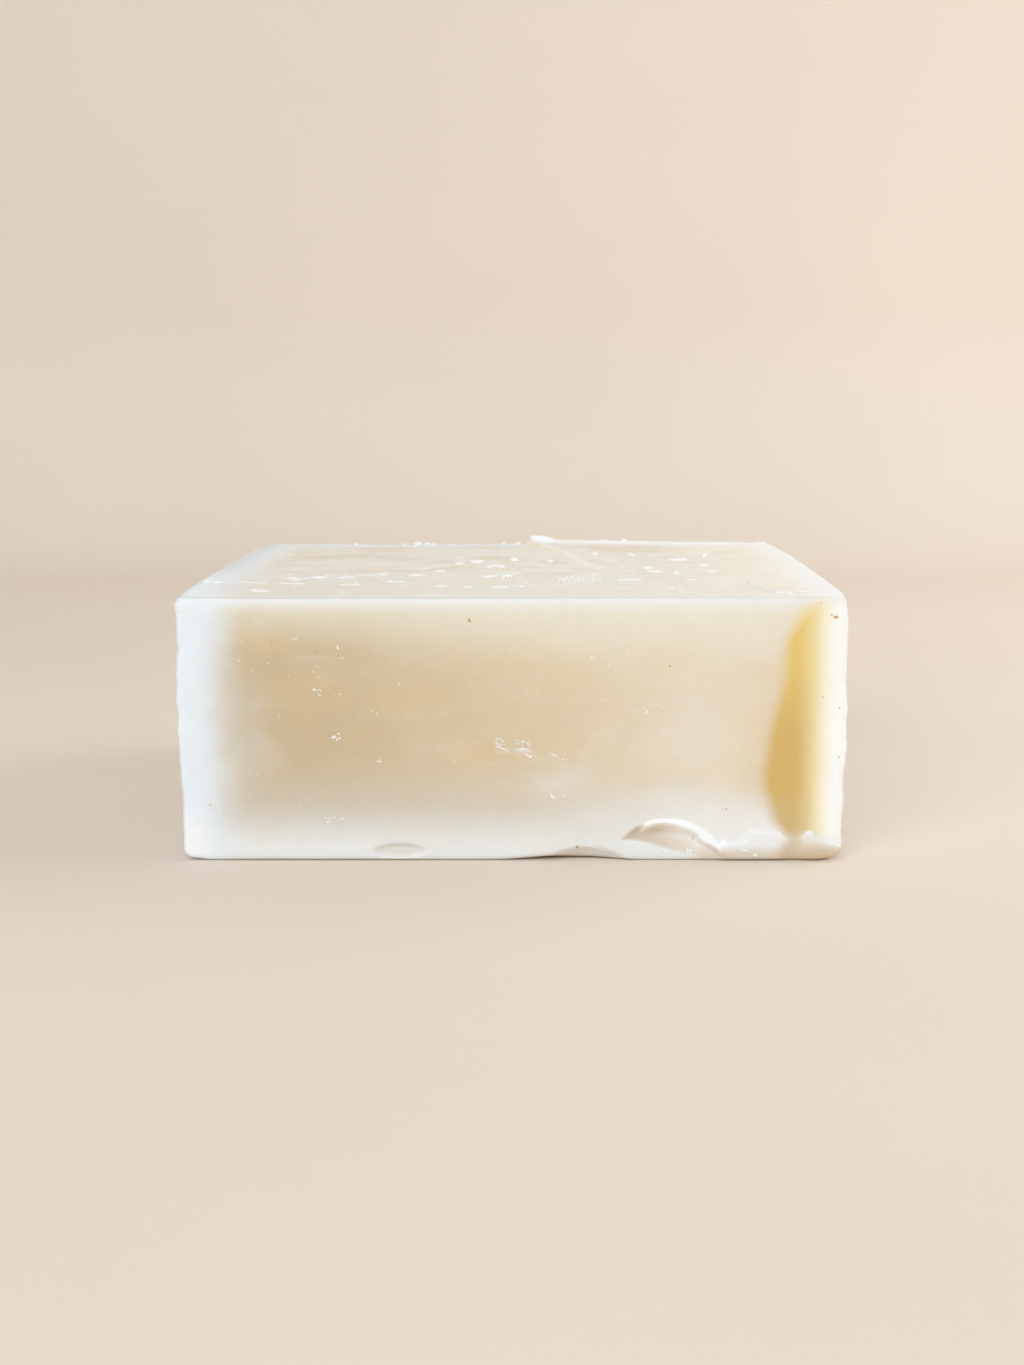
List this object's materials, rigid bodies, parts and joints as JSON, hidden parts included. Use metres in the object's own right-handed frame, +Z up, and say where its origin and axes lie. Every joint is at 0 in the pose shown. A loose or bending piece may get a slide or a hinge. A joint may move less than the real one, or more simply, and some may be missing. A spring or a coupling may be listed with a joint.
{
  "type": "bar of soap",
  "caption": "Square hand-cut block of milky soap with a honey-tinted side, a thumb scoop and smeared flakes along the foot, and a low step across its top face",
  "frame": {"origin": "middle of the flat base, on the floor plane", "axes": "+X to the viewer's right along the long side of the front face, +Y from the front face to the rear face, +Z up from the base"},
  "size_m": [0.097, 0.0917, 0.0406],
  "materials": {
    "soap": "satin, milky and slightly translucent, with wiped and scuffed patches"
  },
  "bodies": {
    "root": {"soap_bar": "soap"}
  },
  "joints": []
}
